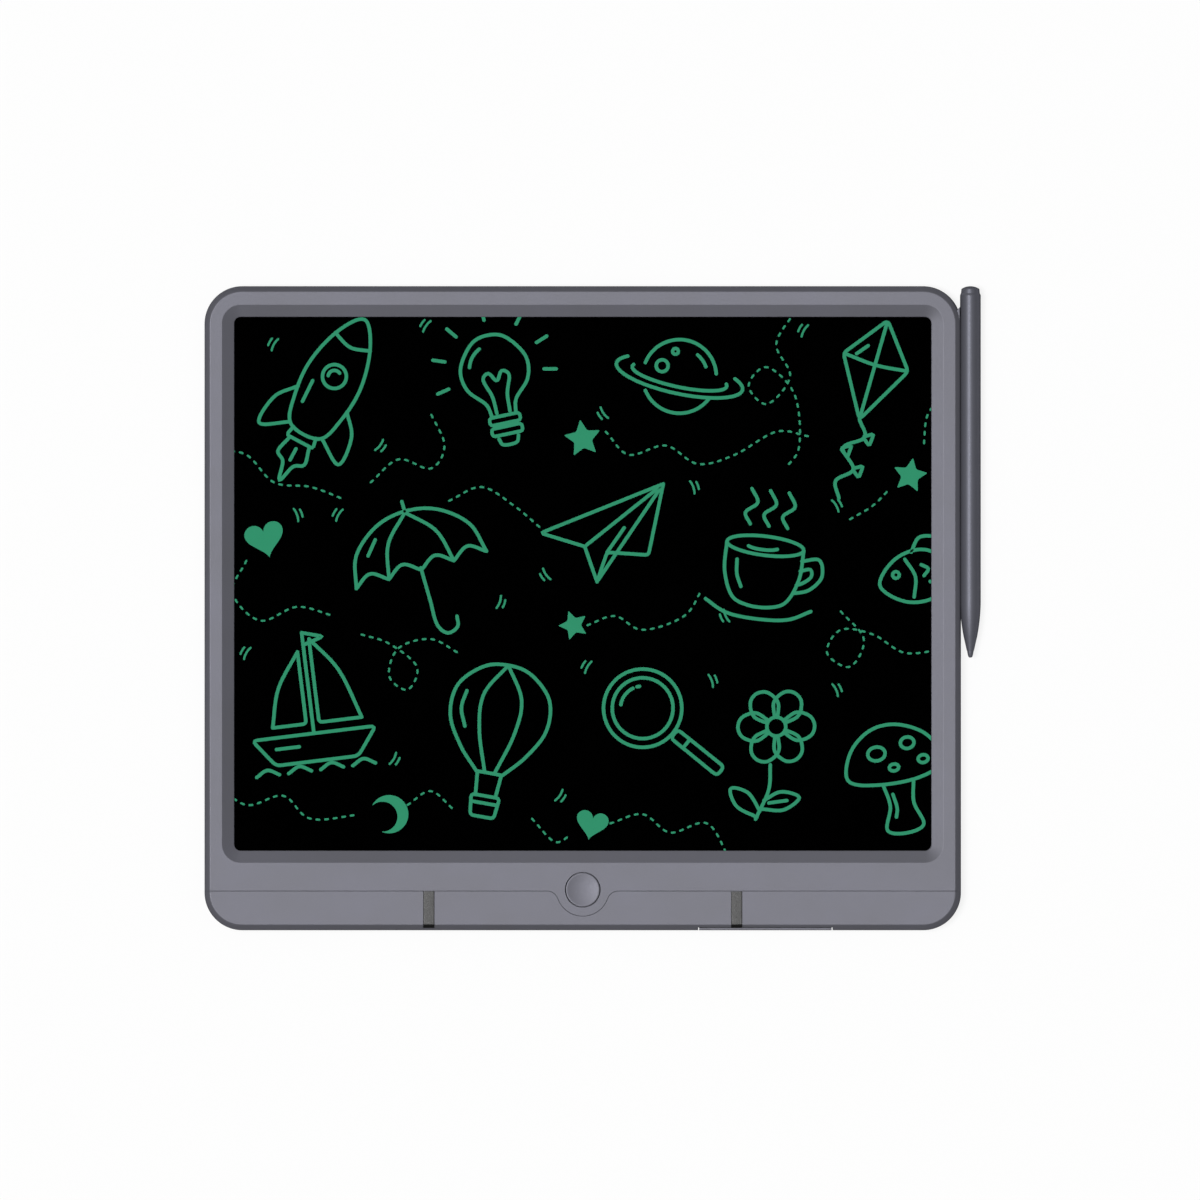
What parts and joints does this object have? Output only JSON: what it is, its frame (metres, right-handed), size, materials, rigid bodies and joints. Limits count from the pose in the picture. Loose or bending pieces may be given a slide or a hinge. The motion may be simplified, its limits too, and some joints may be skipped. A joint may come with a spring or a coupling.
{
  "type": "lcd writing tablet",
  "caption": "Flat LCD writing tablet: grey framed black pressure sensitive screen, erase button in the bottom bar, battery door and lock slider behind, stylus held along the right side.",
  "frame": {"origin": "middle of the whole outline, stylus included, on the surface that the feet rest on", "axes": "+X to the right of the screen and the longest way, +Y to the top of the screen, +Z out of the screen, the thinnest way"},
  "size_m": [0.3368, 0.2796, 0.011],
  "materials": {
    "grey_case": "fine satin moulded ABS",
    "grey_stylus": "smooth satin moulded ABS",
    "black_rubber": "matt rubber",
    "black_film": "dark pressure sensitive film, low sheen",
    "board_sheet": "plain sheet",
    "foam": "closed cell foam",
    "circuit": "solder mask",
    "chip_plastic": "moulded epoxy",
    "silicone": "milky silicone",
    "steel": "plated steel",
    "flex_copper": "polyimide flex"
  },
  "bodies": {
    "tablet": {"front_bezel": "grey_case", "bottom_bar": "grey_case", "rear_shell": "grey_case", "rubber_strip_left": "black_rubber", "rubber_strip_right": "black_rubber", "lcd_film": "black_film", "backing_board": "board_sheet", "foam_sheet": "foam", "lcd_flex_tail": "flex_copper", "smoothing_capacitor": "flex_copper", "circuit_board": "circuit", "lcd_connector": "chip_plastic", "driver_chip": "chip_plastic", "boost_coil": "chip_plastic", "silicone_dome": "silicone", "lock_switch_body": "steel", "coin_cell_1": "steel", "coin_cell_2": "steel", "battery_contact_1": "steel", "battery_contact_2": "steel", "case_screw_1": "steel", "case_screw_2": "steel", "case_screw_3": "steel", "case_screw_4": "steel", "case_screw_5": "steel", "case_screw_6": "steel", "case_screw_7": "steel", "case_screw_8": "steel", "case_screw_9": "steel", "case_screw_10": "steel", "stylus_magnet_1": "steel", "stylus_magnet_2": "steel", "rubber_foot_1": "black_rubber", "rubber_foot_2": "black_rubber", "rubber_foot_3": "black_rubber", "rubber_foot_4": "black_rubber"},
    "erase_button": {"erase_button": "grey_case"},
    "lock_slider": {"lock_slider": "black_rubber"},
    "battery_door": {"battery_door": "grey_case", "battery_door_screw": "steel", "battery_link_plate": "steel"},
    "stylus": {"stylus_barrel": "grey_stylus", "stylus_cap": "grey_stylus", "stylus_nib": "grey_stylus", "stylus_steel_insert": "steel"}
  },
  "joints": [
    {"name": "erase_press", "type": "slide", "parent": "tablet", "child": "erase_button", "axis": [0, 0, -1], "range_m": [0, 0.0008], "stiffness_N_per_m": 300, "springref_m": -0.0005, "deforming": ["silicone_dome"]},
    {"name": "lock_slide", "type": "slide", "parent": "tablet", "child": "lock_slider", "axis": [1, 0, 0], "range_m": [0, 0.003]},
    {"name": "battery_door_hinge", "type": "hinge", "parent": "tablet", "child": "battery_door", "pos_m": [0.07495, -0.112, 0.001], "axis": [1, 0, 0], "range_deg": [0, 75]},
    {"name": "stylus_lift", "type": "slide", "parent": "tablet", "child": "stylus", "axis": [0, 0, 1], "range_m": [0, 0.03]}
  ]
}
